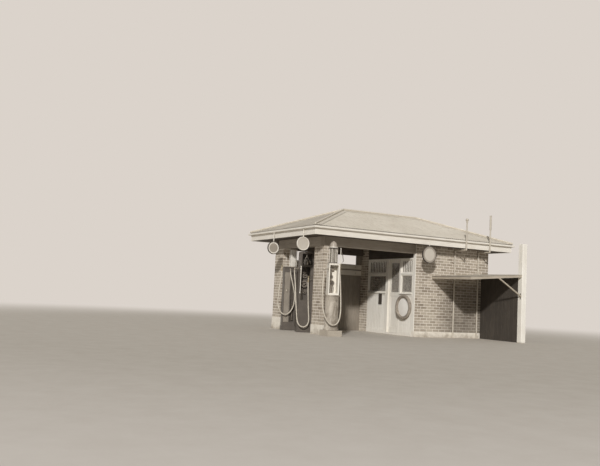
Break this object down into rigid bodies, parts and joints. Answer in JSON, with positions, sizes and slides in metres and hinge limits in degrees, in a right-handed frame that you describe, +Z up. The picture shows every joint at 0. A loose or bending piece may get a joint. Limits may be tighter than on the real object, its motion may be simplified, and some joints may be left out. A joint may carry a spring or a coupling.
{
  "type": "filling station canopy",
  "caption": "Small corner filling station with a hipped iron roof over a drive-in bay, a brick office, pumps with hoses and a lean-to.",
  "frame": {"origin": "outer front corner of the corner pier, on the ground", "axes": "+X along the street front from the corner pier to the office, +Y from the street to the back, +Z up"},
  "size_m": [7.6319, 5.85, 3.938],
  "materials": {
    "brick": "matt brickwork with pale joints",
    "render": "limewashed cement render",
    "concrete": "rough concrete",
    "white_timber": "white oil paint, a little worn",
    "dark_timber": "dark stained boards",
    "pale_timber": "weathered boards",
    "roof_iron": "galvanised corrugated iron, dulled",
    "white_metal": "white enamel paint",
    "glass": "clear window glass",
    "dark_metal": "dark enamel paint",
    "grey_metal": "oily cast iron",
    "light_metal": "pale enamel paint",
    "brass": "dulled brass",
    "hose_rubber": "pale canvas-covered rubber",
    "tyre_rubber": "grey rubber"
  },
  "bodies": {
    "station": {"corner_pier": "brick", "corner_pier_foot": "render", "side_pier": "brick", "side_pier_foot": "render", "office_pier": "brick", "front_beam": "dark_timber", "left_beam": "dark_timber", "rear_beam": "dark_timber", "rear_screen": "dark_timber", "screen_rails": "pale_timber", "front_wall": "brick", "wall_band": "render", "right_wall": "brick", "rear_wall": "brick", "office_floor": "concrete", "near_dado": "white_timber", "far_dado": "white_timber", "wall_head": "dark_timber", "near_window": "white_timber", "far_window": "white_timber", "bay_glass": "glass", "door_frame": "white_timber", "door_hinge_pins": "dark_metal", "soffit": "dark_timber", "fascia": "white_timber", "gutter": "white_metal", "roof_front": "roof_iron", "roof_rear": "roof_iron", "roof_left": "roof_iron", "roof_right": "roof_iron", "roof_caps": "roof_iron", "lean_to_frame": "pale_timber", "lean_to_sheet": "roof_iron", "lean_to_post": "white_timber", "lean_to_side": "dark_timber", "left_vent_pipe": "white_metal", "right_vent_pipe": "white_metal", "rear_eave_sign": "white_metal", "corner_eave_sign": "white_metal", "front_eave_sign": "white_metal", "wall_ring": "tyre_rubber", "notice_board": "dark_metal", "rear_pump": "dark_metal", "rear_pump_measure": "glass", "middle_pump": "dark_metal", "middle_pump_works": "grey_metal", "front_pump_foot": "concrete", "front_pump": "light_metal", "front_pump_measure": "glass", "front_pump_dome": "white_metal", "rear_hose": "hose_rubber", "rear_nozzle": "brass", "middle_hose": "hose_rubber", "middle_nozzle": "brass", "front_hose": "hose_rubber", "front_nozzle": "brass"},
    "door": {"door_leaf": "white_timber", "door_glass": "glass", "door_knobs": "brass"}
  },
  "joints": [
    {"name": "office_door", "type": "hinge", "parent": "station", "child": "door", "pos_m": [3.349, 1.4175, 0], "axis": [0, 0, 1], "range_deg": [0, 95]}
  ]
}
